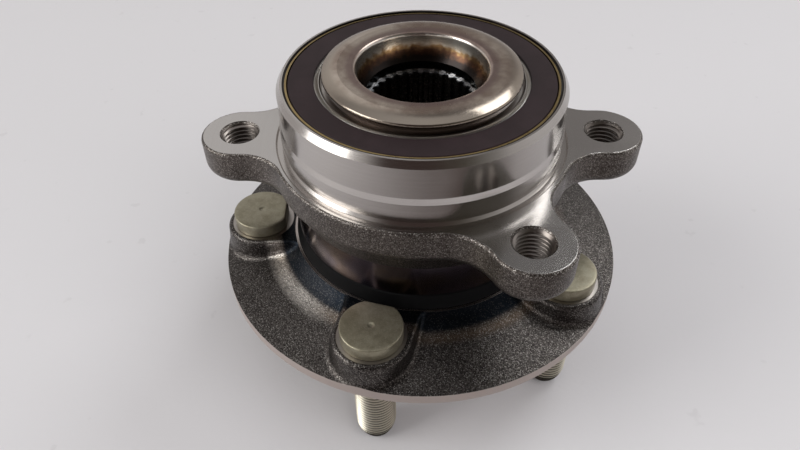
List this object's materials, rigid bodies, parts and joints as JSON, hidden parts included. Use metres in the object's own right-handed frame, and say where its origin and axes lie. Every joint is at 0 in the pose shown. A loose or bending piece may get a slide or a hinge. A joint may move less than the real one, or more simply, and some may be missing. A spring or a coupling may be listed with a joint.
{
  "type": "wheel hub bearing",
  "caption": "Flanged wheel hub bearing unit: splined drive hub with wheel studs, turning in a lugged outer ring on two rows of caged balls.",
  "frame": {"origin": "on the hub axis, at the face of the hub flange that the brake disc and wheel seat on", "axes": "+Z along the hub axis, pointing inboard to the steering knuckle; the two long sides of the knuckle bolt rectangle lie along X"},
  "size_m": [0.142, 0.142, 0.1148],
  "materials": {
    "ring_steel": "forged outer ring, turned pilot and milled lug faces",
    "hub_steel": "shot-blasted forging with turned seats and formed collar",
    "bearing_steel": "ground",
    "plated_steel": "olive zinc-flake plating",
    "pressed_steel": "pressed sheet, straw coloured",
    "magnetic_rubber": "matte",
    "seal_rubber": "matte",
    "cage_polyamide": "moulded"
  },
  "bodies": {
    "outer_ring": {"outer_ring": "ring_steel", "inboard_seal_case": "pressed_steel", "inboard_seal_lips": "seal_rubber", "outboard_seal_case": "pressed_steel", "outboard_seal_lips": "seal_rubber"},
    "hub": {"wheel_hub": "hub_steel", "inner_ring": "bearing_steel", "wheel_studs": "plated_steel", "slinger": "pressed_steel", "encoder_ring": "magnetic_rubber"},
    "inboard_row": {"inboard_cage": "cage_polyamide", "inboard_ball_01": "bearing_steel", "inboard_ball_02": "bearing_steel", "inboard_ball_03": "bearing_steel", "inboard_ball_04": "bearing_steel", "inboard_ball_05": "bearing_steel", "inboard_ball_06": "bearing_steel", "inboard_ball_07": "bearing_steel", "inboard_ball_08": "bearing_steel", "inboard_ball_09": "bearing_steel", "inboard_ball_10": "bearing_steel", "inboard_ball_11": "bearing_steel", "inboard_ball_12": "bearing_steel", "inboard_ball_13": "bearing_steel", "inboard_ball_14": "bearing_steel"},
    "outboard_row": {"outboard_cage": "cage_polyamide", "outboard_ball_01": "bearing_steel", "outboard_ball_02": "bearing_steel", "outboard_ball_03": "bearing_steel", "outboard_ball_04": "bearing_steel", "outboard_ball_05": "bearing_steel", "outboard_ball_06": "bearing_steel", "outboard_ball_07": "bearing_steel", "outboard_ball_08": "bearing_steel", "outboard_ball_09": "bearing_steel", "outboard_ball_10": "bearing_steel", "outboard_ball_11": "bearing_steel", "outboard_ball_12": "bearing_steel", "outboard_ball_13": "bearing_steel", "outboard_ball_14": "bearing_steel"}
  },
  "joints": [
    {"name": "hub_spin", "type": "hinge", "parent": "outer_ring", "child": "hub", "pos_m": [0, 0, 0], "axis": [0, 0, 1], "continuous": true},
    {"name": "inboard_row_spin", "type": "hinge", "parent": "outer_ring", "child": "inboard_row", "pos_m": [0, 0, 0], "axis": [0, 0, 1], "continuous": true},
    {"name": "outboard_row_spin", "type": "hinge", "parent": "outer_ring", "child": "outboard_row", "pos_m": [0, 0, 0], "axis": [0, 0, 1], "continuous": true}
  ],
  "couplings": [
    {"joint": "inboard_row_spin", "follows": "hub_spin", "ratio": 0.4224},
    {"joint": "outboard_row_spin", "follows": "hub_spin", "ratio": 0.4224}
  ]
}
